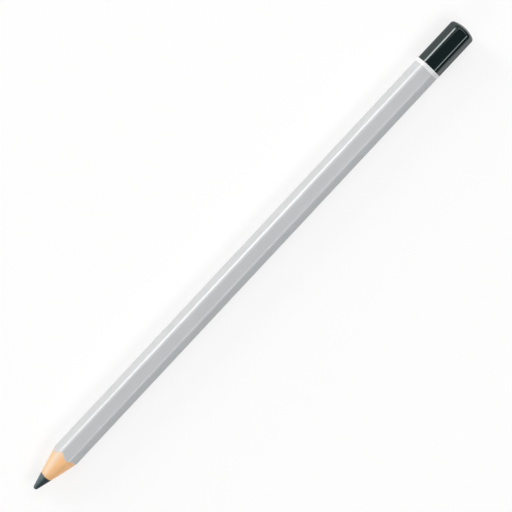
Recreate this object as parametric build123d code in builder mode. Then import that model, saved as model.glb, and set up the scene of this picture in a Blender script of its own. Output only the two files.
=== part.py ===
from build123d import *
from math import radians, sin, tan
import os

# A wood-cased marking pencil: a thick lead glued between two grooved wooden slats,
# shaped to a rounded hexagon, lacquered silver, rounded and dipped white and then
# black at one end, and sharpened at the other.
# It lies along X on one flat, with its point towards -X. The origin is on the surface
# under the middle of its length. All sizes are in millimetres and degrees.

# Driving dimensions of the whole pencil
overall_length = 175.0
across_flats = 7.3  # over the silver lacquer
corner_radius = 1.8  # of the six long edges, over the silver lacquer

# Lead and the adhesive that holds it and the two slats
lead_diameter = 3.7
lead_bond_film = 0.06
seam_glue_film = 0.06

# Sharpened point
point_angle = 30.2  # the whole cone
nose_radius = 0.72  # the lead's blunt tip

# Lacquer and the two dips
lacquer_film = 0.06
white_film = 0.04
black_film = 0.04
black_length = 14.8  # along the pencil, from the black dip's edge to the end
white_ring_width = 1.2  # of the white dip that shows

# Rounded end
dome_radius = 8.0  # of the lacquered wood, before the dips
rim_radius = 0.9  # where the dome meets the flats, before the dips

# Places that follow from these
dips_film = white_film + black_film
axis_height = across_flats / 2 + dips_film
tip_x = -overall_length / 2
end_x = overall_length / 2
bare_end_x = end_x - dips_film
black_edge_x = end_x - black_length
white_edge_x = black_edge_x - white_ring_width
lead_radius = lead_diameter / 2
groove_radius = lead_radius + lead_bond_film
half_angle = radians(point_angle / 2)
nose_centre_x = tip_x + nose_radius
cone_apex_x = nose_centre_x - nose_radius / sin(half_angle)
clear_radius = across_flats  # well outside the hexagon's corners

pencil_axis = Axis((0, 0, axis_height), (1, 0, 0))
side_plane = Plane((0, 0, axis_height), x_dir=(1, 0, 0), z_dir=(0, -1, 0))


def cross_plane(x):
    """The plane across the pencil at x, with its own x along Y and its own y along Z."""
    return Plane((x, 0, axis_height), x_dir=(0, 1, 0), z_dir=(1, 0, 0))


def hexagon(film):
    """The pencil's section over the lacquer, grown outwards by film, in the current sketch."""
    corners = RegularPolygon(across_flats / 2 + film, 6, major_radius=False).vertices()
    fillet(corners, corner_radius + film)


def domed_bar(start_x, film):
    """A hexagonal bar from start_x to the rounded end, grown outwards by film all over."""
    dome_x = bare_end_x + film
    dome_centre_x = bare_end_x - dome_radius
    past_end_x = dome_x + clear_radius
    with BuildPart() as bar:
        with BuildSketch(cross_plane(start_x)):
            hexagon(film)
        extrude(amount=dome_x - start_x)
        with BuildSketch(side_plane):
            with BuildLine():
                dome = CenterArc((dome_centre_x, 0), dome_radius + film, 0, 90)
                Polyline(dome @ 1, (past_end_x, dome_radius + film), (past_end_x, 0), dome @ 0)
            make_face()
        revolve(axis=pencil_axis, mode=Mode.SUBTRACT)
        fillet(bar.faces().sort_by(Axis.X)[-1].edges(), rim_radius + film)
    return bar.part


# Tool body: the whole pencil before it is dipped, rounded at the back and sharpened at the front
with BuildPart() as pencil_form:
    add(domed_bar(tip_x, film=0))
    with BuildSketch(side_plane):
        with BuildLine():
            nose = CenterArc((nose_centre_x, 0), nose_radius, 180, point_angle / 2 - 90)
            shoulder_x = cone_apex_x + clear_radius / tan(half_angle)
            Polyline(nose @ 1, (shoulder_x, clear_radius), (end_x, clear_radius), (end_x, 0), nose @ 0)
        make_face()
    revolve(axis=pencil_axis, mode=Mode.INTERSECT)


# Lead: a rod the whole length of the wood, turned to a cone with a blunt tip by the sharpener
with BuildPart() as lead:
    with BuildSketch(cross_plane(tip_x)):
        Circle(lead_radius)
    extrude(amount=overall_length)
    add(pencil_form.part, mode=Mode.INTERSECT)
lead.part.label = "lead"


# Adhesive sleeve that bonds the lead into the two grooves
with BuildPart() as lead_bond:
    with BuildSketch(cross_plane(tip_x)):
        Circle(groove_radius)
        Circle(lead_radius, mode=Mode.SUBTRACT)
    extrude(amount=overall_length)
    add(pencil_form.part, mode=Mode.INTERSECT)
lead_bond.part.label = "lead_bond"


def make_slat(label, seam_offset, kept_side):
    """Half of the wooden casing, with its half-round groove, on one side of the glue seam."""
    with BuildPart() as slat:
        with BuildSketch(cross_plane(tip_x)):
            hexagon(-lacquer_film)
            Circle(groove_radius, mode=Mode.SUBTRACT)
        extrude(amount=overall_length)
        split(bisect_by=Plane.XY.offset(axis_height + seam_offset), keep=kept_side)
        add(pencil_form.part, mode=Mode.INTERSECT)
    slat.part.label = label
    return slat.part


upper_slat = make_slat("upper_slat", seam_glue_film / 2, Keep.TOP)
lower_slat = make_slat("lower_slat", -seam_glue_film / 2, Keep.BOTTOM)


def make_seam_glue(label, kept_side):
    """The glue film between the two slats, on one side of the lead."""
    with BuildPart() as seam:
        with BuildSketch(cross_plane(tip_x)):
            hexagon(-lacquer_film)
            Rectangle(2 * clear_radius, seam_glue_film, mode=Mode.INTERSECT)
            Circle(groove_radius, mode=Mode.SUBTRACT)
        extrude(amount=overall_length)
        split(bisect_by=Plane.XZ, keep=kept_side)
        add(pencil_form.part, mode=Mode.INTERSECT)
    seam.part.label = label
    return seam.part


# Seen from behind the capped end, looking towards the point, +Y is on the right
right_seam_glue = make_seam_glue("right_seam_glue", Keep.BOTTOM)
left_seam_glue = make_seam_glue("left_seam_glue", Keep.TOP)


# Silver lacquer: a film round the wood, cut to scallops by the sharpener
with BuildPart() as silver_lacquer:
    add(pencil_form.part)
    with BuildSketch(cross_plane(tip_x)):
        hexagon(-lacquer_film)
    extrude(amount=overall_length, mode=Mode.SUBTRACT)
silver_lacquer.part.label = "silver_lacquer"


# White dip: a thin cup over the lacquered end, of which only a ring shows
with BuildPart() as white_dip:
    add(domed_bar(white_edge_x, white_film))
    add(pencil_form.part, mode=Mode.SUBTRACT)
white_dip.part.label = "white_dip"


# Black dip: a second cup over the white one, which stops short of its edge
with BuildPart() as black_dip:
    add(domed_bar(black_edge_x, dips_film))
    add(domed_bar(white_edge_x, white_film), mode=Mode.SUBTRACT)
black_dip.part.label = "black_dip"


pieces = [
    lead.part,
    lead_bond.part,
    upper_slat,
    lower_slat,
    right_seam_glue,
    left_seam_glue,
    silver_lacquer.part,
    white_dip.part,
    black_dip.part,
]
os.makedirs("parts", exist_ok=True)
for piece in pieces:
    export_step(piece, f"parts/{piece.label}.step")
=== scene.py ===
"""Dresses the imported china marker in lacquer, wood and lead, and sets it on a studio stage."""

from math import asin, atan, atan2, cos, floor, hypot, pi, radians, sin, sqrt, tan

import bmesh
import bpy
from bpy.props import FloatProperty, FloatVectorProperty, PointerProperty
from bpy.types import Operator, Panel, PropertyGroup
from mathutils import Matrix, Vector, noise


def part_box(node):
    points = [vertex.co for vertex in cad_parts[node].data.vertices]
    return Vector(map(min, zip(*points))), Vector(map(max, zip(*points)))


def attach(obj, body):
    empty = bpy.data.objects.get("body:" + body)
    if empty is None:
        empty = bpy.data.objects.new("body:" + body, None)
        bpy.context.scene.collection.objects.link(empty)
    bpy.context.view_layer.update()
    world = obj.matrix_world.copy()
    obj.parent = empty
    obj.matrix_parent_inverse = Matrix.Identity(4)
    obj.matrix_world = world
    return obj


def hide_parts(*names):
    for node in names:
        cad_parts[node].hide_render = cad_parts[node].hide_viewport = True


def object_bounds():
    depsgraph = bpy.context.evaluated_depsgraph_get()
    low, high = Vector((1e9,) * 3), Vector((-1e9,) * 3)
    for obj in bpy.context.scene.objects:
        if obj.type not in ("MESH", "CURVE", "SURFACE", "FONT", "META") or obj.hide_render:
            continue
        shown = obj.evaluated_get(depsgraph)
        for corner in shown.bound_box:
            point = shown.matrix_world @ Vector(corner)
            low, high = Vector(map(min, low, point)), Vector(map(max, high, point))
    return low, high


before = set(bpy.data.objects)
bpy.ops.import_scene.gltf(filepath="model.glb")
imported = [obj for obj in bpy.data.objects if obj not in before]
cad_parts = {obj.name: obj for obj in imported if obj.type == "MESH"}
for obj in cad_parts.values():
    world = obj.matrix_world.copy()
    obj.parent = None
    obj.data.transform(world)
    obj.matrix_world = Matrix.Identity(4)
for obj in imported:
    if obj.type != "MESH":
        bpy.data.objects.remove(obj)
CAD_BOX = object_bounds()

bl_info = {
    "name": "China marker",
    "version": (1, 0, 0),
    "blender": (4, 5, 0),
    "location": "View3D > Sidebar > China marker",
    "description": "Builds the looks of a wood-cased china marker around its packed frame",
    "category": "Object",
}

BODY = "root"
MM = 0.001
MICRON = 0.000001

# Fineness of the meshes
CORNER_STEPS = 10
FLAT_STEPS = 6
CONE_RINGS = 36
NOSE_STEPS = 14
LEAD_SIDES = 128
RIM_STEPS = 12
DOME_RINGS = 9
FEATHER_STEPS = 5
SHARP_ANGLE = radians(12)

# Grain of the unevenness that the sharpener and the dips leave, the cut through the noise that the
# scallops' raggedness is read on, and how far from its edge a dip still wanders
RAGGED_GRAIN = 0.5 * MM
RAGGED_CUT = 3.0
WEAR_GRAIN = 0.35 * MM
WANDER_GRAIN = 2.5 * MM
WANDER_REACH = 3.0 * MM

# Stage, in metres. Each lamp has its width and height, its bearing from the pencil's +Y side round to
# its capped end, and its elevation.
LAMP_DISTANCE = 1.2
KEY_LAMP = {"size": (0.4, 0.72), "bearing": radians(0), "elevation": radians(16)}
END_LAMP = {"size": (1.2, 1.0), "bearing": radians(65), "elevation": radians(50)}
POINT_LAMP = {"size": (0.6, 0.4), "bearing": radians(-90), "elevation": radians(25)}
FILL_STRIP = {"size": (0.9, 0.36), "bearing": radians(180), "elevation": radians(54)}
FLOOR_HALF_SIZE = 3.0
FLOOR_GAP = 20 * MICRON
CLIP_RANGE = 0.01, 20.0

# Colours that no user would change
WHITE = (1.0, 1.0, 1.0)
FLAKE_EDGE = (0.05, 0.05, 0.05)

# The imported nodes' boxes, each as its lowest and its highest corner
lead_low, lead_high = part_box("lead")
bond_low, bond_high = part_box("lead_bond")
silver_low, silver_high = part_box("silver_lacquer")
white_low, white_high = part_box("white_dip")
black_low, black_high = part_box("black_dip")
lower_low, lower_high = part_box("lower_slat")
upper_low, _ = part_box("upper_slat")

# Sizes that follow from those boxes
AXIS_Z = (silver_low.z + silver_high.z) / 2
ACROSS_FLATS = silver_high.z - silver_low.z
SHARP_CORNER = ACROSS_FLATS / sqrt(3)
CORNER_RADIUS = (SHARP_CORNER - silver_high.y) / (2 / sqrt(3) - 1)
LACQUER_FILM = lower_low.z - silver_low.z
WHITE_FILM = silver_low.z - white_low.z
BLACK_FILM = white_low.z - black_low.z
LEAD_RADIUS = lead_high.y
GROOVE_RADIUS = bond_high.y
CONE_SLOPE = (ACROSS_FLATS / 2 - LACQUER_FILM - LEAD_RADIUS) / (silver_low.x - bond_low.x)
CONE_APEX_X = bond_low.x - LEAD_RADIUS / CONE_SLOPE
CONE_ANGLE = atan(CONE_SLOPE)
NOSE_RADIUS = (lead_low.x - CONE_APEX_X) / (1 / sin(CONE_ANGLE) - 1)


def length(name, description, default):
    """A size property, in metres."""
    return FloatProperty(
        name=name, description=description, default=default, min=0.0, precision=5,
        unit="LENGTH", subtype="DISTANCE",
    )


def angle(name, description, default):
    """A turn property, in radians."""
    return FloatProperty(name=name, description=description, default=default, subtype="ANGLE")


def wattage(name, description, default):
    """A lamp's power property, in watts."""
    return FloatProperty(name=name, description=description, default=default, min=0.0, unit="POWER")


def fraction(name, description, default):
    """A property from none to all."""
    return FloatProperty(
        name=name, description=description, default=default, min=0.0, max=1.0, subtype="FACTOR"
    )


def colour(name, description, default):
    """A linear colour property."""
    return FloatVectorProperty(
        name=name, description=description, default=default, min=0.0, max=1.0, size=3, subtype="COLOR"
    )


class PencilShape(PropertyGroup):
    """Sizes of the pencil's visible pieces."""

    across_flats: length("Across flats", "Hexagon over the silver lacquer, flat to flat", ACROSS_FLATS)
    corner_radius: length("Corner radius", "Rounding of the six long edges", CORNER_RADIUS)
    lacquer_film: length("Lacquer film", "Thickness of the silver lacquer", LACQUER_FILM)
    white_film: length("White film", "Thickness of the white dip", WHITE_FILM)
    black_film: length("Black film", "Thickness of the black dip", BLACK_FILM)
    dome_radius: length("Dome radius", "Curve of the rounded end, under the dips", 8.0 * MM)
    rim_radius: length("Rim radius", "Rounding between the dome and the flats, under the dips", 0.9 * MM)
    feather: length("Dip feather", "Length over which a dip thins out at its edge", 0.12 * MM)
    dip_wander: length("Dip wander", "How far a dip's edge strays along the pencil", 0.05 * MM)
    scallop_wander: length("Scallop wander", "How ragged the sharpener left the lacquer's edge", 0.05 * MM)
    corner_back: length("Corner set-back", "How far the cut lies behind a true cone's at corners", 0.15 * MM)
    corner_step: length("Corner step", "How much further back it lies at every second corner", 0.125 * MM)
    flat_back: length("Flat set-back", "How far it lies behind in the middle of the flats", 0.84 * MM)
    flat_tilt: length("Flat tilt", "How much further back it lies on the flats towards -Y", 0.65 * MM)
    scallop_skew: length("Scallop skew", "How far the top and bottom scallops are dragged aside", 0.5 * MM)
    wood_tongue: length("Wood tongue", "How far the wood runs on along the lead, above and below", 0.3 * MM)
    nose_wear: length("Nose wear", "Unevenness of the lead's blunt tip", 0.05 * MM)


class PencilColours(PropertyGroup):
    """Colours of the pencil's finishes."""

    silver: colour("Silver", "Silver lacquer between its flakes", (0.48, 0.495, 0.51))
    flake: colour("Flake", "Bright flakes in the silver lacquer", (0.61, 0.622, 0.635))
    primer: colour("Primer", "Cut edge of the lacquer", (0.60, 0.55, 0.48))
    white: colour("White", "White dipping lacquer", (0.765, 0.775, 0.785))
    black: colour("Black", "Black dipping lacquer", (0.002, 0.0078, 0.0075))
    black_sheen: colour("Black sheen", "Tint of what the black dip mirrors", (0.86, 0.97, 1.0))
    # The pale wood is also the painted sheen on the cone's +Y side, and the darker wood the deeper colour of
    # its -Y side
    pale_wood_and_sheen: colour("Early wood", "Pale bands of the wood", (0.825, 0.648, 0.482))
    late_wood: colour("Late wood", "Darker bands of the wood", (0.905, 0.48, 0.185))
    # Painted shade along the +Y edge of the cone, where the light falls off towards its outline
    edge_shade_wood: colour("Flank wood", "Deeper band down the wood's +Y side", (0.735, 0.487, 0.265))
    lead: colour("Lead", "Marking lead", (0.002, 0.012, 0.015))
    # Also the paler colour of the painted highlight on the lead's +Y side
    lead_dust_and_sheen: colour("Lead dust", "Lead smeared by the sharpener", (0.128, 0.182, 0.197))
    glue: colour("Glue", "Dried glue at the seams", (0.60, 0.38, 0.20))


class StudioStage(PropertyGroup):
    """Camera, lamps, room and floor."""

    camera_distance: length("Camera distance", "Distance of the camera from the pencil's axis", 1.0)
    camera_x: length("Camera place", "How far the camera stands towards the capped end", 14.0 * MM)
    aim: FloatVectorProperty(
        name="Aim",
        description="Point on the pencil's level that the middle of the picture shows",
        default=(1.715 * MM, -0.82 * MM),
        size=2,
        precision=6,
        unit="LENGTH",
    )
    slant: angle("Slant", "How far the pencil is turned up from level in the picture", radians(46.926))
    lean: angle("Lean", "How far the camera stands from overhead, towards the key lamp", radians(5.5))
    lens: FloatProperty(
        name="Lens",
        description="Focal length in millimetres",
        default=253.56,
        min=1.0,
        subtype="DISTANCE_CAMERA",
    )
    key_power: wattage("Key power", "Low lamp on the pencil's +Y side", 9.8)
    end_power: wattage("End power", "Soft lamp above the capped end", 6.0)
    point_power: wattage("Point power", "Low lamp before the sharpened point", 3.0)
    fill_power: wattage("Fill power", "High strip on the pencil's -Y side", 5.5)
    zenith: fraction("Zenith", "Brightness of the room overhead", 0.2)
    key_wall: fraction("Key wall", "Brightness of the wall behind the key lamp", 0.35)
    far_wall: fraction("Far wall", "Brightness of the wall across from it", 0.12)
    glow: fraction("Floor glow", "Share of the floor that shows plain white", 0.7)
    key_tint: colour("Key tint", "Colour of the low lamp on the +Y side", (1.0, 0.965, 0.935))
    floor: colour("Floor", "Paper that the pencil lies on", (0.95, 0.95, 0.95))


# Shader building


class Signal:
    """A value that varies over a surface: a node's output, on which Python's operators add Math nodes."""

    def __init__(self, graph, socket):
        self.graph = graph
        self.socket = socket

    def math(self, operation, first, second):
        return self.graph.node("ShaderNodeMath", {"operation": operation}, {0: first, 1: second})

    def __add__(self, other):
        return self.math("ADD", self, other)

    def __radd__(self, other):
        return self.math("ADD", other, self)

    def __sub__(self, other):
        return self.math("SUBTRACT", self, other)

    def __rsub__(self, other):
        return self.math("SUBTRACT", other, self)

    def __mul__(self, other):
        return self.math("MULTIPLY", self, other)

    def __rmul__(self, other):
        return self.math("MULTIPLY", other, self)

    def __truediv__(self, other):
        return self.math("DIVIDE", self, other)

    def __pow__(self, other):
        return self.math("POWER", self, other)


class Graph:
    """The node tree of a material or a world, built by calls that each add one node."""

    def __init__(self, owner):
        owner.use_nodes = True
        self.tree = owner.node_tree
        self.tree.nodes.clear()

    def node(self, kind, settings=None, inputs=None, output=0):
        """Adds a node of a kind, sets it up, feeds its inputs and returns one of its outputs."""
        made = self.tree.nodes.new(kind)
        for name, value in (settings or {}).items():
            setattr(made, name, value)
        for key, value in (inputs or {}).items():
            if isinstance(value, Signal):
                self.tree.links.new(value.socket, made.inputs[key])
            else:
                made.inputs[key].default_value = value
        return Signal(self, made.outputs[output]) if made.outputs else None

    def place(self):
        """The point on the surface, in millimetres of the pencil's own frame."""
        point = self.node("ShaderNodeTexCoord", output="Object")
        return self.node("ShaderNodeVectorMath", {"operation": "SCALE"}, {0: point, "Scale": 1 / MM})

    def stretch(self, vector, scale):
        """A vector with its three parts scaled by their own amounts."""
        return self.node("ShaderNodeVectorMath", {"operation": "MULTIPLY"}, {0: vector, 1: scale})

    def parts(self, vector):
        """The x, y and z of a vector."""
        split = self.node("ShaderNodeSeparateXYZ", inputs={0: vector}).socket.node
        return [Signal(self, socket) for socket in split.outputs]

    def grain(self, vector, scale, detail=3.0, roughness=0.55):
        """Smooth noise from 0 to 1, whose scale is in spots to the vector's unit."""
        inputs = {"Vector": vector, "Scale": scale, "Detail": detail, "Roughness": roughness}
        return self.node("ShaderNodeTexNoise", inputs=inputs)

    def ease(self, value, start, end):
        """0 up to start and 1 from end on, with a smooth step between them. End may lie below start."""
        inputs = {"Value": value, "From Min": start, "From Max": end}
        return self.node("ShaderNodeMapRange", {"interpolation_type": "SMOOTHSTEP"}, inputs)

    def blend(self, factor, first, second):
        """One colour turning into another."""
        return self.node("ShaderNodeMix", {"data_type": "RGBA"}, {0: factor, 6: first, 7: second}, output=2)

    def bump(self, height, distance):
        """The surface's normal, dented by a height from 0 to 1 over a distance in metres."""
        inputs = {"Height": height, "Distance": distance, "Strength": 1.0}
        return self.node("ShaderNodeBump", inputs=inputs)

    def surface(self, **inputs):
        """Ends a material in a Principled shader, whose inputs are named with underscores."""
        named = {key.replace("_", " "): value for key, value in inputs.items()}
        shader = self.node("ShaderNodeBsdfPrincipled", inputs=named)
        self.node("ShaderNodeOutputMaterial", inputs={"Surface": shader})


def opaque(rgb):
    """A colour property as the four numbers of a colour socket."""
    return (*rgb, 1.0)


def new_finish(name):
    """A new material and its empty graph."""
    material = bpy.data.materials.new(name)
    return material, Graph(material)


def silver_finish(colours):
    """Silver lacquer: fine metal flake under a clear gloss, drawn along the barrel."""
    material, graph = new_finish("silver_lacquer_finish")
    place = graph.place()
    drawn = graph.grain(graph.stretch(place, (0.03, 1.6, 1.6)), 1.0, detail=4.0)
    peel = graph.grain(graph.stretch(place, (0.45, 1.0, 1.0)), 1.5, detail=2.0)
    cells = graph.node("ShaderNodeTexVoronoi", inputs={"Vector": place, "Scale": 13.0}, output="Color")
    flake = graph.parts(cells)[0]
    cloud = graph.grain(place, 0.22, detail=2.0)
    brightness = 0.25 * flake + 0.45 * drawn + 0.3 * cloud
    graph.surface(
        Base_Color=graph.blend(brightness, opaque(colours.silver), opaque(colours.flake)),
        Metallic=0.11 + 0.09 * flake,
        Roughness=0.32 + 0.08 * flake + 0.06 * drawn,
        Specular_IOR_Level=0.0,
        Specular_Tint=opaque(FLAKE_EDGE),
        Coat_Weight=0.05 + 0.04 * cloud,
        Coat_Roughness=0.25,
        Normal=graph.bump(0.7 * peel + 0.3 * drawn, 5 * MICRON),
    )
    return material


def cut_edge_finish(colours):
    """The lacquer's edge where the sharpener cut it: pale primer with a few torn specks."""
    material, graph = new_finish("cut_lacquer_finish")
    place = graph.place()
    specks = graph.grain(place, 6.0, detail=3.0)
    graph.surface(
        Base_Color=graph.blend(specks, opaque(colours.primer), opaque(colours.flake)),
        Roughness=0.45 + 0.2 * specks,
        Normal=graph.bump(specks, 4 * MICRON),
    )
    return material


def dip_finish(name, rgb, gloss, specular, sheen=WHITE):
    """Dipping lacquer: a glossy skin with a faint orange peel and dust nibs."""
    material, graph = new_finish(name)
    place = graph.place()
    peel = graph.grain(graph.stretch(place, (0.7, 1.0, 1.0)), 1.1, detail=2.0)
    film = graph.grain(place, 3.5, detail=4.0)
    nibs = graph.ease(graph.grain(place, 5.0, detail=1.0), 0.72, 0.8)
    shade = tuple(0.94 * part for part in rgb)
    graph.surface(
        Base_Color=graph.blend(film, opaque(shade), opaque(rgb)),
        Roughness=gloss + 0.05 * film + 0.1 * nibs,
        Specular_IOR_Level=specular,
        Specular_Tint=opaque(sheen),
        Normal=graph.bump(0.94 * peel + 0.06 * nibs, 3 * MICRON),
    )
    return material


def wood_finish(colours):
    """Bare softwood on the sharpened cone: growth bands, fibres, cutter marks and smeared lead, with a
    painted sheen on its +Y side and painted shade along its +Y edge.
    """
    material, graph = new_finish("bare_wood_finish")
    place = graph.place()
    _, across, height = graph.parts(place)
    rise = height - AXIS_Z / MM
    radius = (across * across + rise * rise) ** 0.5
    sway = graph.grain(graph.stretch(place, (0.05, 0.6, 0.6)), 1.0, detail=2.0)
    fibres = graph.grain(graph.stretch(place, (0.16, 5.0, 5.0)), 1.0, detail=5.0, roughness=0.65)
    pores = graph.ease(graph.grain(graph.stretch(place, (0.5, 11.0, 11.0)), 1.0, detail=2.0), 0.6, 0.75)
    wave = 2.3 * across + 1.3 * rise + 5.0 * sway
    bands = graph.node("ShaderNodeMath", {"operation": "SINE"}, {0: wave})
    marks = graph.grain(graph.stretch(place, (9.0, 0.25, 0.25)), 1.0, detail=3.0)
    # From 1 on the cone's +Y side, by way of 0 on its top and underside, to -1 on its -Y side
    sideward = across / radius
    # Painted sheen: the wood is painted paler towards the cone's +Y side, where the key lamp's sheen falls,
    # and deeper towards its -Y side
    away_from_painted_sheen = graph.ease(sideward, 0.55, -0.04)
    # Painted shade: a deeper colour along the cone's +Y edge, where the light falls off towards its outline
    painted_edge_shade = graph.ease(sideward, 0.53, 0.96)
    tone = 0.75 * away_from_painted_sheen + 0.07 * bands + 0.22 * fibres + 0.1 * marks - 0.06
    wood = graph.blend(tone, opaque(colours.pale_wood_and_sheen), opaque(colours.late_wood))
    edge_shaded = graph.blend(0.9 * painted_edge_shade, wood, opaque(colours.edge_shade_wood))
    pored = graph.blend(0.35 * pores, edge_shaded, opaque(colours.late_wood))
    near_lead = 1 - graph.ease(radius, GROOVE_RADIUS / MM, GROOVE_RADIUS / MM + 0.55)
    smear = near_lead * graph.ease(graph.grain(graph.stretch(place, (2.0, 3.0, 3.0)), 1.0), 0.38, 0.8)
    graph.surface(
        Base_Color=graph.blend(0.25 * smear, pored, opaque(colours.lead_dust_and_sheen)),
        Roughness=0.38 + 0.14 * fibres,
        Normal=graph.bump(0.5 * fibres + 0.3 * marks + 0.2 * pores, 9 * MICRON),
    )
    return material


def lead_finish(colours):
    """Waxy marking lead, burnished by the cutter in fine rings, scuffed at the tip, and painted paler on its
    +Y side as a painted highlight.
    """
    material, graph = new_finish("marking_lead_finish")
    place = graph.place()
    rings = graph.grain(graph.stretch(place, (7.0, 0.3, 0.3)), 1.0, detail=4.0)
    crumb = graph.grain(place, 5.5, detail=4.0)
    streaks = graph.ease(graph.grain(graph.stretch(place, (0.6, 3.2, 3.2)), 1.0, detail=2.0), 0.45, 0.75)
    along, across, _ = graph.parts(place)
    # Painted highlight: the lead is painted paler towards its +Y side, where the key lamp's sheen falls
    painted_highlight_side = graph.ease(across, -0.35, 0.75)
    scuffed = graph.ease(along, lead_low.x / MM + 1.5, lead_low.x / MM + 0.3)
    # The lead's paleness: mostly the painted highlight, with a little scuffing at the tip
    extent = 0.1 + 0.9 * painted_highlight_side + 0.25 * scuffed
    patchy = 0.45 * rings + 0.3 * crumb + 0.25 * streaks + 0.25
    graph.surface(
        Base_Color=graph.blend(extent * patchy, opaque(colours.lead), opaque(colours.lead_dust_and_sheen)),
        Roughness=0.42 + 0.14 * crumb,
        Normal=graph.bump(0.6 * rings + 0.4 * crumb, 10 * MICRON),
    )
    return material


def glue_finish(colours):
    """Dried wood glue, seen only as hairlines on the cone."""
    material, graph = new_finish("dried_glue_finish")
    place = graph.place()
    cloud = graph.grain(place, 4.0, detail=3.0)
    graph.surface(
        Base_Color=graph.blend(0.6 * cloud, opaque(colours.glue), opaque(colours.late_wood)),
        Roughness=0.35 + 0.2 * cloud,
        Normal=graph.bump(cloud, 4 * MICRON),
    )
    return material


# Mesh building


def off_axis(point):
    """How far a point is from the pencil's axis."""
    return hypot(point.y, point.z - AXIS_Z)


def section_normal(shape, point):
    """The outward direction of the barrel's rounded hexagon at a point on it."""
    arm = Vector((point.y, point.z - AXIS_Z))
    side = floor(atan2(arm.y, arm.x) / radians(60))
    facing = radians(60 * side + 30)
    normal = Vector((cos(facing), sin(facing)))
    tangent = Vector((-normal.y, normal.x))
    inner_flat = shape.across_flats / 2 - shape.corner_radius
    half_flat = inner_flat * tan(radians(30))
    slide = max(-half_flat, min(half_flat, arm.dot(tangent)))
    outward = (arm - inner_flat * normal - slide * tangent).normalized()
    return Vector((0.0, outward.x, outward.y))


def hexagon_loop(mesh, shape, x, grow=0.0):
    """Adds the barrel's rounded hexagon at x, grown outwards, and returns its edges."""
    radius = shape.corner_radius + grow
    flat = (shape.across_flats / 2 - shape.corner_radius) / cos(radians(30))
    turns = [radians(60 * corner) for corner in range(6)]
    centres = [Vector((x, flat * cos(turn), AXIS_Z + flat * sin(turn))) for turn in turns]
    below = Vector((0.0, cos(radians(-30)), sin(radians(-30))))
    ends = [mesh.verts.new(centres[0] + radius * below)]
    for centre, following in zip(centres, centres[1:] + centres[:1]):
        arc = {"cent": centre, "axis": (1, 0, 0), "angle": radians(60), "steps": CORNER_STEPS}
        ends = bmesh.ops.spin(mesh, geom=ends, **arc)["geom_last"]
        run = {"cent": centre, "axis": (1, 0, 0), "angle": 0.0, "steps": FLAT_STEPS}
        ends = bmesh.ops.spin(mesh, geom=ends, dvec=(following - centre) / FLAT_STEPS, **run)["geom_last"]
    bmesh.ops.remove_doubles(mesh, verts=mesh.verts, dist=MICRON)
    return [edge for edge in mesh.edges if edge.is_wire]


def loop_vertices(edges):
    """The vertices of a loop of edges."""
    return list({vertex for edge in edges for vertex in edge.verts})


def extrude_loop(mesh, edges):
    """Extrudes a loop in place, and returns the new loop's edges and vertices."""
    made = bmesh.ops.extrude_edge_only(mesh, edges=edges)["geom"]
    vertices = {item for item in made if isinstance(item, bmesh.types.BMVert)}
    made_edges = [item for item in made if isinstance(item, bmesh.types.BMEdge)]
    return [edge for edge in made_edges if vertices.issuperset(edge.verts)], list(vertices)


def set_x(vertices, x):
    """Puts vertices on one plane across the pencil."""
    for vertex in vertices:
        vertex.co.x = x


def cone_x(radius):
    """Where along the pencil a true cone has a radius."""
    return CONE_APEX_X + radius / CONE_SLOPE


def unevenness(shape, point):
    """How far the sharpener's cut strays along the pencil from a true cone, at a point of the cone.

    The cut lies further back towards the lacquer, by other amounts at the six corners than on the
    flats between them, and the wood runs further along the lead on its top and underside.
    """
    radius = off_axis(point)
    azimuth = atan2(point.z - AXIS_Z, point.y)
    near_lead = max(0.0, 1 - abs(radius - LEAD_RADIUS) / LEAD_RADIUS) ** 2
    near_lacquer = max(0.0, (radius - LEAD_RADIUS) / (ACROSS_FLATS / 2 - LEAD_RADIUS))
    near_corner = (1 + cos(6 * azimuth)) / 2
    at_corners = shape.corner_back - shape.corner_step * cos(3 * azimuth)
    on_flats = shape.flat_back - shape.flat_tilt * cos(azimuth)
    skew = shape.scallop_skew * sin(azimuth) ** 2 * sin(6 * azimuth)
    edge = near_corner * at_corners + (1 - near_corner) * on_flats + skew
    return near_lacquer**2 * edge - near_lead * shape.wood_tongue * sin(azimuth) ** 2


def set_on_cone(shape, vertices, wander=0.0):
    """Slides vertices along the pencil onto the sharpened cone, with a little raggedness."""
    for vertex in vertices:
        ragged = noise.noise(Vector((RAGGED_CUT, vertex.co.y, vertex.co.z)) / RAGGED_GRAIN)
        vertex.co.x = cone_x(off_axis(vertex.co)) + unevenness(shape, vertex.co) + wander * ragged


def dome_drop(dome_radius, radius):
    """How far a dome has fallen back from its middle, at a distance from the pencil's axis."""
    return dome_radius - sqrt(dome_radius**2 - radius**2)


def dome_x(shape, radius):
    """Where along the pencil the dome under the dips has a radius."""
    return lead_high.x - dome_drop(shape.dome_radius, radius)


def rim_run(shape, grow=0.0):
    """How far before the corner of its flats and its dome the rounding between them begins."""
    dome_tilt = asin((shape.across_flats / 2 + grow) / (shape.dome_radius + grow))
    return (shape.rim_radius + grow) * tan((pi / 2 - dome_tilt) / 2)


def set_on_rim(shape, vertices, depth=0.0):
    """Slides vertices to where the rounding before the dome cuts a surface at a depth in the barrel."""
    run = rim_run(shape) - sqrt(depth * (2 * shape.rim_radius - depth))
    for vertex in vertices:
        vertex.co.x = dome_x(shape, off_axis(vertex.co) + depth) - run


def set_on_dome(shape, vertices):
    """Slides vertices along the pencil onto the dome of its rounded end, under the dips."""
    for vertex in vertices:
        vertex.co.x = dome_x(shape, off_axis(vertex.co))


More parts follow.
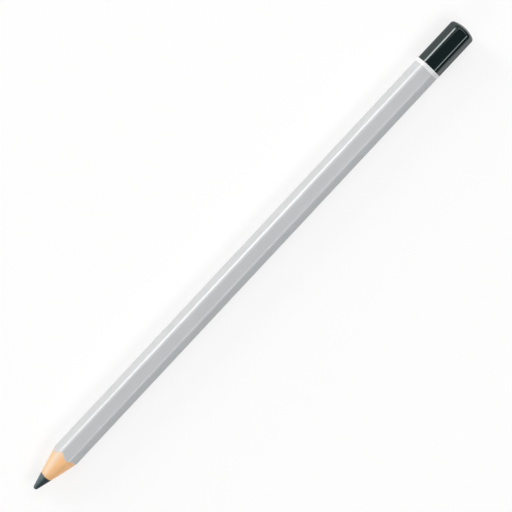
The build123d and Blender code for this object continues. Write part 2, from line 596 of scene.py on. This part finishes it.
def draw_in(mesh, ring, radius, steps, seat):
    """Carries a loop in steps towards the pencil's axis, and lets seat place each step along the pencil."""
    for steps_left in range(steps, 0, -1):
        ring, vertices = extrude_loop(mesh, ring)
        for vertex in vertices:
            share = 1 - (1 - radius / off_axis(vertex.co)) / steps_left
            vertex.co.y *= share
            vertex.co.z = AXIS_Z + (vertex.co.z - AXIS_Z) * share
        seat(vertices)
    return ring


def move_out(shape, vertices, distance):
    """Moves vertices of a section outwards, square to it."""
    for vertex in vertices:
        vertex.co += distance * section_normal(shape, vertex.co)


def wooden_casing(shape):
    """The whole casing, with its cone, its rounded end and its bore, before it is parted at the seam."""
    mesh = bmesh.new()
    outline = hexagon_loop(mesh, shape, 0.0, grow=-shape.lacquer_film)
    set_on_cone(shape, loop_vertices(outline))
    bore_front = draw_in(mesh, outline, GROOVE_RADIUS, CONE_RINGS, lambda ring: set_on_cone(shape, ring))
    shoulder, vertices = extrude_loop(mesh, outline)
    set_on_rim(shape, vertices, depth=shape.lacquer_film)
    bore_back = draw_in(mesh, shoulder, GROOVE_RADIUS, DOME_RINGS, lambda ring: set_on_dome(shape, ring))
    bmesh.ops.bridge_loops(mesh, edges=bore_front + bore_back)
    return mesh


def keep_side(mesh, point, direction):
    """Cuts a closed mesh at a plane, keeps the side that the direction points to and closes the cut."""
    whole = [*mesh.verts, *mesh.edges, *mesh.faces]
    cut = bmesh.ops.bisect_plane(mesh, geom=whole, plane_co=point, plane_no=direction, clear_inner=True)
    rims = [item for item in cut["geom_cut"] if isinstance(item, bmesh.types.BMEdge)]
    bmesh.ops.holes_fill(mesh, edges=rims)


def add_piece(context, mesh, name, node, slot, *finishes):
    """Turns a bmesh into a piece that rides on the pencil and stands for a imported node."""
    bmesh.ops.recalc_face_normals(mesh, faces=mesh.faces)
    data = bpy.data.meshes.new(name)
    mesh.to_mesh(data)
    mesh.free()
    data.shade_smooth()
    data.set_sharp_from_angle(angle=SHARP_ANGLE)
    for finish in finishes:
        data.materials.append(finish)
    piece = bpy.data.objects.new(name, data)
    context.scene.collection.objects.link(piece)
    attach(piece, BODY)
    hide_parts(node)


class CHINA_MARKER_OT_silver_barrel(Operator):
    """Adds the silver lacquer round the barrel, cut to scallops by the sharpener"""

    bl_idname = "china_marker.silver_barrel"
    bl_label = "Silver barrel"
    bl_options = {"REGISTER", "UNDO"}

    def execute(self, context):
        shape, colours = context.scene.pencil_shape, context.scene.pencil_colours
        # The cone leaves the barrel before it reaches a hexagon's sharp corner
        behind_scallops = cone_x(1.1 * SHARP_CORNER)
        mesh = bmesh.new()
        ring = hexagon_loop(mesh, shape, behind_scallops)
        scallops, vertices = extrude_loop(mesh, ring)
        set_on_cone(shape, vertices, shape.scallop_wander)
        before_rim = set(mesh.faces)
        wood_side, vertices = extrude_loop(mesh, scallops)
        move_out(shape, vertices, -shape.lacquer_film)
        set_on_cone(shape, vertices, shape.scallop_wander)
        for face in set(mesh.faces) - before_rim:
            face.material_index = 1
        inner_end, vertices = extrude_loop(mesh, wood_side)
        set_on_rim(shape, vertices, depth=shape.lacquer_film)
        under_dips, vertices = extrude_loop(mesh, ring)
        set_x(vertices, (white_low.x + white_high.x) / 2)
        outer_end, vertices = extrude_loop(mesh, under_dips)
        set_on_rim(shape, vertices)
        bmesh.ops.bridge_loops(mesh, edges=inner_end + outer_end)
        # Faces made from the cut edge's loops took over its finish
        for face in mesh.faces:
            if any(edge in inner_end for edge in face.edges):
                face.material_index = 0
        finishes = silver_finish(colours), cut_edge_finish(colours)
        add_piece(context, mesh, "silver_barrel", "silver_lacquer", "silver_lacquer", *finishes)
        return {"FINISHED"}


class CHINA_MARKER_OT_grooved_slats(Operator):
    """Adds the two wooden slats, which meet at the seam and show on the sharpened cone"""

    bl_idname = "china_marker.grooved_slats"
    bl_label = "Grooved slats"
    bl_options = {"REGISTER", "UNDO"}

    def execute(self, context):
        shape = context.scene.pencil_shape
        finish = wood_finish(context.scene.pencil_colours)
        for node, seam_z, up in (("upper_slat", upper_low.z, 1), ("lower_slat", lower_high.z, -1)):
            mesh = wooden_casing(shape)
            keep_side(mesh, (0, 0, seam_z), (0, 0, up))
            add_piece(context, mesh, f"{node}_wood", node, "wood", finish)
        return {"FINISHED"}


class CHINA_MARKER_OT_sharpened_lead(Operator):
    """Adds the lead with its cone and blunt tip, and the adhesive sleeve round it"""

    bl_idname = "china_marker.sharpened_lead"
    bl_label = "Sharpened lead"
    bl_options = {"REGISTER", "UNDO"}

    def execute(self, context):
        shape, colours = context.scene.pencil_shape, context.scene.pencil_colours
        lead = self.lead(shape)
        add_piece(context, lead, "sharpened_lead", "lead", "lead", lead_finish(colours))
        sleeve = self.sleeve(shape)
        add_piece(context, sleeve, "lead_bond_sleeve", "lead_bond", "glue", glue_finish(colours))
        return {"FINISHED"}

    def lead(self, shape):
        """The lead, turned from a profile of its blunt tip, its cone, its side and its domed end."""
        cone_end_x = cone_x(LEAD_RADIUS)
        nose_centre = Vector((lead_low.x + NOSE_RADIUS, 0.0, AXIS_Z))
        dome_centre = Vector((lead_high.x - shape.dome_radius, 0.0, AXIS_Z))
        mesh = bmesh.new()
        tip = [mesh.verts.new((lead_low.x, 0.0, AXIS_Z))]
        nose = {"cent": nose_centre, "axis": (0, 1, 0), "angle": pi / 2 - CONE_ANGLE, "steps": NOSE_STEPS}
        end = bmesh.ops.spin(mesh, geom=tip, **nose)["geom_last"]
        run = (Vector((cone_end_x, 0.0, AXIS_Z + LEAD_RADIUS)) - end[0].co) / CONE_RINGS
        cone = {"cent": nose_centre, "axis": (0, 1, 0), "angle": 0.0, "steps": CONE_RINGS}
        end = bmesh.ops.spin(mesh, geom=end, dvec=run, **cone)["geom_last"]
        end = bmesh.ops.extrude_vert_indiv(mesh, verts=end)["verts"]
        end[0].co = (dome_x(shape, LEAD_RADIUS), 0.0, AXIS_Z + LEAD_RADIUS)
        dome_angle = asin(LEAD_RADIUS / shape.dome_radius)
        dome = {"cent": dome_centre, "axis": (0, 1, 0), "angle": dome_angle, "steps": DOME_RINGS}
        bmesh.ops.spin(mesh, geom=end, **dome)
        self.turn(mesh)
        for vertex in mesh.verts:
            extent = max(0.0, noise.noise(vertex.co / WEAR_GRAIN))
            nearness = max(0.0, 1 - (vertex.co.x - lead_low.x) / (3 * NOSE_RADIUS))
            if vertex.co.x < cone_end_x + MICRON:
                vertex.co.x += unevenness(shape, vertex.co)
            vertex.co.x += shape.nose_wear * extent * nearness
        return mesh

    def sleeve(self, shape):
        """The adhesive sleeve round the lead, turned from a thin profile that the cone cuts aslant."""
        edge_x = cone_x(GROOVE_RADIUS)
        inside = (dome_x(shape, LEAD_RADIUS), LEAD_RADIUS), (cone_x(LEAD_RADIUS), LEAD_RADIUS)
        outside = (edge_x, GROOVE_RADIUS), (dome_x(shape, GROOVE_RADIUS), GROOVE_RADIUS)
        mesh = bmesh.new()
        ring = [mesh.verts.new((x, 0.0, AXIS_Z + radius)) for x, radius in inside + outside]
        for first, second in zip(ring, ring[1:] + ring[:1]):
            mesh.edges.new((first, second))
        self.turn(mesh)
        for vertex in mesh.verts:
            if vertex.co.x < edge_x + MICRON:
                vertex.co.x += unevenness(shape, vertex.co)
        return mesh

    def turn(self, mesh):
        """Spins a profile a full turn about the pencil's axis."""
        profile = [*mesh.verts, *mesh.edges]
        whole = {"cent": (0, 0, AXIS_Z), "axis": (1, 0, 0), "angle": 2 * pi, "steps": LEAD_SIDES}
        bmesh.ops.spin(mesh, geom=profile, use_merge=True, **whole)
        bmesh.ops.remove_doubles(mesh, verts=mesh.verts, dist=MICRON)


class CHINA_MARKER_OT_dipped_end(Operator):
    """Adds the white dip, of which a ring shows, and the black dip over it"""

    bl_idname = "china_marker.dipped_end"
    bl_label = "Dipped end"
    bl_options = {"REGISTER", "UNDO"}

    def execute(self, context):
        shape, colours = context.scene.pencil_shape, context.scene.pencil_colours
        white = self.cup(shape, white_low.x, white_high.x, 0.0, shape.white_film)
        white_gloss = dip_finish("white_dip_finish", colours.white, gloss=0.2, specular=0.25)
        add_piece(context, white, "white_dip_cup", "white_dip", "white_lacquer", white_gloss)
        black = self.cup(shape, black_low.x, black_high.x, shape.white_film, shape.black_film)
        black_gloss = dip_finish(
            "black_dip_finish", colours.black, gloss=0.06, specular=0.55, sheen=colours.black_sheen
        )
        add_piece(context, black, "black_dip_cup", "black_dip", "black_lacquer", black_gloss)
        return {"FINISHED"}

    def cup(self, shape, edge_x, end_x, under, film):
        """A thin cup over the rounded end, on a surface grown by under, feathered at its edge."""
        mesh = bmesh.new()
        edge = hexagon_loop(mesh, shape, edge_x, grow=under)
        self.close_end(mesh, shape, edge, end_x - film, under)
        ring, thickness = edge, 0.0
        for step in range(1, FEATHER_STEPS + 1):
            ring, vertices = extrude_loop(mesh, ring)
            turn = step / FEATHER_STEPS * pi / 2
            move_out(shape, vertices, film * sin(turn) - thickness)
            set_x(vertices, edge_x + shape.feather * (1 - cos(turn)))
            thickness = film * sin(turn)
        self.close_end(mesh, shape, ring, end_x, under + film)
        # Each dip's edge is read on a cut of its own through the noise
        for vertex in mesh.verts:
            nearness = max(0.0, 1 - (vertex.co.x - edge_x) / WANDER_REACH)
            wander = noise.noise(Vector((edge_x / MM, vertex.co.y, vertex.co.z)) / WANDER_GRAIN)
            vertex.co.x += shape.dip_wander * wander * nearness
        return mesh

    def close_end(self, mesh, shape, ring, end_x, grow):
        """Carries a loop of the barrel to the rounded end and closes it with a rim and a dome."""
        flat = shape.across_flats / 2 + grow
        rim = rim_run(shape, grow)
        before = set(mesh.verts)
        # Loops on both sides of the shoulder stand clear of the bevel that rounds it
        ring, vertices = extrude_loop(mesh, ring)
        set_x(vertices, end_x - 3 * rim)
        ring, vertices = extrude_loop(mesh, ring)
        set_x(vertices, end_x)
        shoulder = ring
        start = 1 - 1.5 * rim / flat
        shares = [start * (1 - step / DOME_RINGS) for step in range(DOME_RINGS)]
        size = 1.0
        for share in shares:
            ring, vertices = extrude_loop(mesh, ring)
            shrink = (1.0, share / size, share / size)
            bmesh.ops.scale(mesh, vec=shrink, verts=vertices, space=Matrix.Translation((0, 0, -AXIS_Z)))
            size = share
        middle = bmesh.ops.contextual_create(mesh, geom=ring)["faces"]
        bmesh.ops.poke(mesh, faces=middle)
        bmesh.ops.bevel(
            mesh, geom=shoulder, offset=rim, offset_type="OFFSET", segments=RIM_STEPS, profile=0.5,
            affect="EDGES", material=-1,
        )
        for vertex in set(mesh.verts) - before:
            vertex.co.x -= dome_drop(shape.dome_radius + grow, off_axis(vertex.co))


class CHINA_MARKER_OT_glue_seams(Operator):
    """Adds the glue films between the two slats, which show as hairlines on the sharpened cone"""

    bl_idname = "china_marker.glue_seams"
    bl_label = "Glue seams"
    bl_options = {"REGISTER", "UNDO"}

    def execute(self, context):
        shape = context.scene.pencil_shape
        finish = glue_finish(context.scene.pencil_colours)
        for node, across in (("right_seam_glue", 1), ("left_seam_glue", -1)):
            mesh = wooden_casing(shape)
            keep_side(mesh, (0, 0, lower_high.z), (0, 0, 1))
            keep_side(mesh, (0, 0, upper_low.z), (0, 0, -1))
            keep_side(mesh, (0, 0, AXIS_Z), (0, across, 0))
            add_piece(context, mesh, f"{node}_film", node, "glue", finish)
        return {"FINISHED"}


class CHINA_MARKER_OT_studio_stage(Operator):
    """Sets the floor, the lamps, the room's light and the camera"""

    bl_idname = "china_marker.studio_stage"
    bl_label = "Studio stage"
    bl_options = {"REGISTER", "UNDO"}

    def execute(self, context):
        stage = context.scene.studio_stage
        self.add_floor(context, stage)
        self.add_lamp(context, "key_lamp", stage.key_power, tint=stage.key_tint, **KEY_LAMP)
        self.add_lamp(context, "end_lamp", stage.end_power, **END_LAMP)
        self.add_lamp(context, "point_lamp", stage.point_power, **POINT_LAMP)
        self.add_lamp(context, "fill_strip", stage.fill_power, **FILL_STRIP)
        self.light_room(context, stage)
        self.add_camera(context, stage)
        context.scene.view_settings.view_transform = "Standard"
        return {"FINISHED"}

    def add_floor(self, context, stage):
        """A wide sheet of plain paper just under the pencil."""
        material, graph = new_finish("paper_floor_finish")
        paper = graph.node("ShaderNodeBsdfDiffuse", inputs={"Color": opaque(stage.floor)})
        white = graph.node("ShaderNodeEmission", inputs={"Color": opaque(WHITE), "Strength": 1.0})
        rays = ("Is Camera Ray", "Is Glossy Ray", "Is Transmission Ray")
        seen = [graph.node("ShaderNodeLightPath", output=ray) for ray in rays]
        share = stage.glow * (seen[0] + seen[1] + seen[2])
        shader = graph.node("ShaderNodeMixShader", inputs={0: share, 1: paper, 2: white})
        graph.node("ShaderNodeOutputMaterial", inputs={"Surface": shader})
        mesh = bmesh.new()
        bmesh.ops.create_grid(mesh, x_segments=1, y_segments=1, size=FLOOR_HALF_SIZE)
        bmesh.ops.translate(mesh, verts=mesh.verts, vec=(0, 0, CAD_BOX[0].z - FLOOR_GAP))
        data = bpy.data.meshes.new("paper_floor")
        mesh.to_mesh(data)
        mesh.free()
        data.materials.append(material)
        floor_sheet = bpy.data.objects.new("paper_floor", data)
        context.scene.collection.objects.link(floor_sheet)

    def add_lamp(self, context, name, power, size, bearing, elevation, tint=WHITE):
        """A soft rectangular lamp, at a bearing from the pencil's +Y side round to its capped end."""
        level = cos(elevation)
        toward = Vector((level * sin(bearing), level * cos(bearing), sin(elevation)))
        lamp = bpy.data.lights.new(name, "AREA")
        lamp.shape = "RECTANGLE"
        lamp.size, lamp.size_y = size
        lamp.energy = power
        lamp.color = tint
        lamp_object = bpy.data.objects.new(name, lamp)
        level_side = Vector((cos(bearing), -sin(bearing), 0.0))
        lamp_object.matrix_world = Matrix.LocRotScale(
            Vector((0, 0, AXIS_Z)) + LAMP_DISTANCE * toward,
            Matrix((level_side, toward.cross(level_side), toward)).transposed().to_quaternion(),
            None,
        )
        lamp_object.visible_camera = False
        context.scene.collection.objects.link(lamp_object)

    def light_room(self, context, stage):
        """A room that is dim overhead and brighter towards its walls."""
        world = bpy.data.worlds.new("studio_room")
        graph = Graph(world)
        direction = graph.node("ShaderNodeTexCoord", output="Generated")
        _, across, height = graph.parts(direction)
        wall = (stage.key_wall + stage.far_wall) / 2 + (stage.key_wall - stage.far_wall) / 2 * across
        strength = stage.zenith + (wall - stage.zenith) * (1 - height * height)
        light = graph.node("ShaderNodeBackground", inputs={"Color": opaque(WHITE), "Strength": strength})
        graph.node("ShaderNodeOutputWorld", inputs={"Surface": light})
        context.scene.world = world

    def add_camera(self, context, stage):
        """A camera above the pencil, turned so that the pencil lies aslant as in the photograph."""
        aim = Vector((*stage.aim, 0.0))
        seat = Vector((stage.camera_x, stage.aim[1], stage.camera_distance))
        back = (seat - aim).normalized()
        along = Vector((1.0, 0.0, 0.0))
        along = (along - along.dot(back) * back).normalized()
        across = back.cross(along)
        right = cos(stage.slant) * along - sin(stage.slant) * across
        up = sin(stage.slant) * along + cos(stage.slant) * across
        round_axis = Matrix.Translation((0, 0, AXIS_Z)) @ Matrix.Rotation(-stage.lean, 4, "X")
        camera = bpy.data.cameras.new("camera")
        camera.lens = stage.lens
        camera.clip_start, camera.clip_end = CLIP_RANGE
        camera_object = bpy.data.objects.new("camera", camera)
        turn = Matrix((right, up, back)).transposed().to_quaternion()
        camera_object.matrix_world = round_axis @ Matrix.LocRotScale(seat, turn, None)
        context.scene.collection.objects.link(camera_object)
        context.scene.camera = camera_object


class CHINA_MARKER_PT_sidebar(Panel):
    """Lists the pencil's pieces, sizes and colours"""

    bl_idname = "CHINA_MARKER_PT_sidebar"
    bl_label = "China marker"
    bl_space_type = "VIEW_3D"
    bl_region_type = "UI"
    bl_category = "China marker"

    def draw(self, context):
        scene = context.scene
        for operator in OPERATORS:
            self.layout.operator(operator.bl_idname)
        for heading, group in (
            ("Shape", scene.pencil_shape), ("Colours", scene.pencil_colours), ("Stage", scene.studio_stage)
        ):
            box = self.layout.box()
            box.label(text=heading)
            for name in group.__annotations__:
                box.prop(group, name)


GROUPS = {"pencil_shape": PencilShape, "pencil_colours": PencilColours, "studio_stage": StudioStage}
OPERATORS = (
    CHINA_MARKER_OT_silver_barrel,
    CHINA_MARKER_OT_grooved_slats,
    CHINA_MARKER_OT_sharpened_lead,
    CHINA_MARKER_OT_dipped_end,
    CHINA_MARKER_OT_glue_seams,
    CHINA_MARKER_OT_studio_stage,
)
CLASSES = (*GROUPS.values(), *OPERATORS, CHINA_MARKER_PT_sidebar)


def register():
    for each_class in CLASSES:
        bpy.utils.register_class(each_class)
    for name, group in GROUPS.items():
        setattr(bpy.types.Scene, name, PointerProperty(type=group))


def unregister():
    for name in GROUPS:
        delattr(bpy.types.Scene, name)
    for each_class in reversed(CLASSES):
        bpy.utils.unregister_class(each_class)


def main():
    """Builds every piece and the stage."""
    register()
    bpy.ops.china_marker.silver_barrel()
    bpy.ops.china_marker.grooved_slats()
    bpy.ops.china_marker.sharpened_lead()
    bpy.ops.china_marker.dipped_end()
    bpy.ops.china_marker.glue_seams()
    bpy.ops.china_marker.studio_stage()


if __name__ == "__main__":
    main()
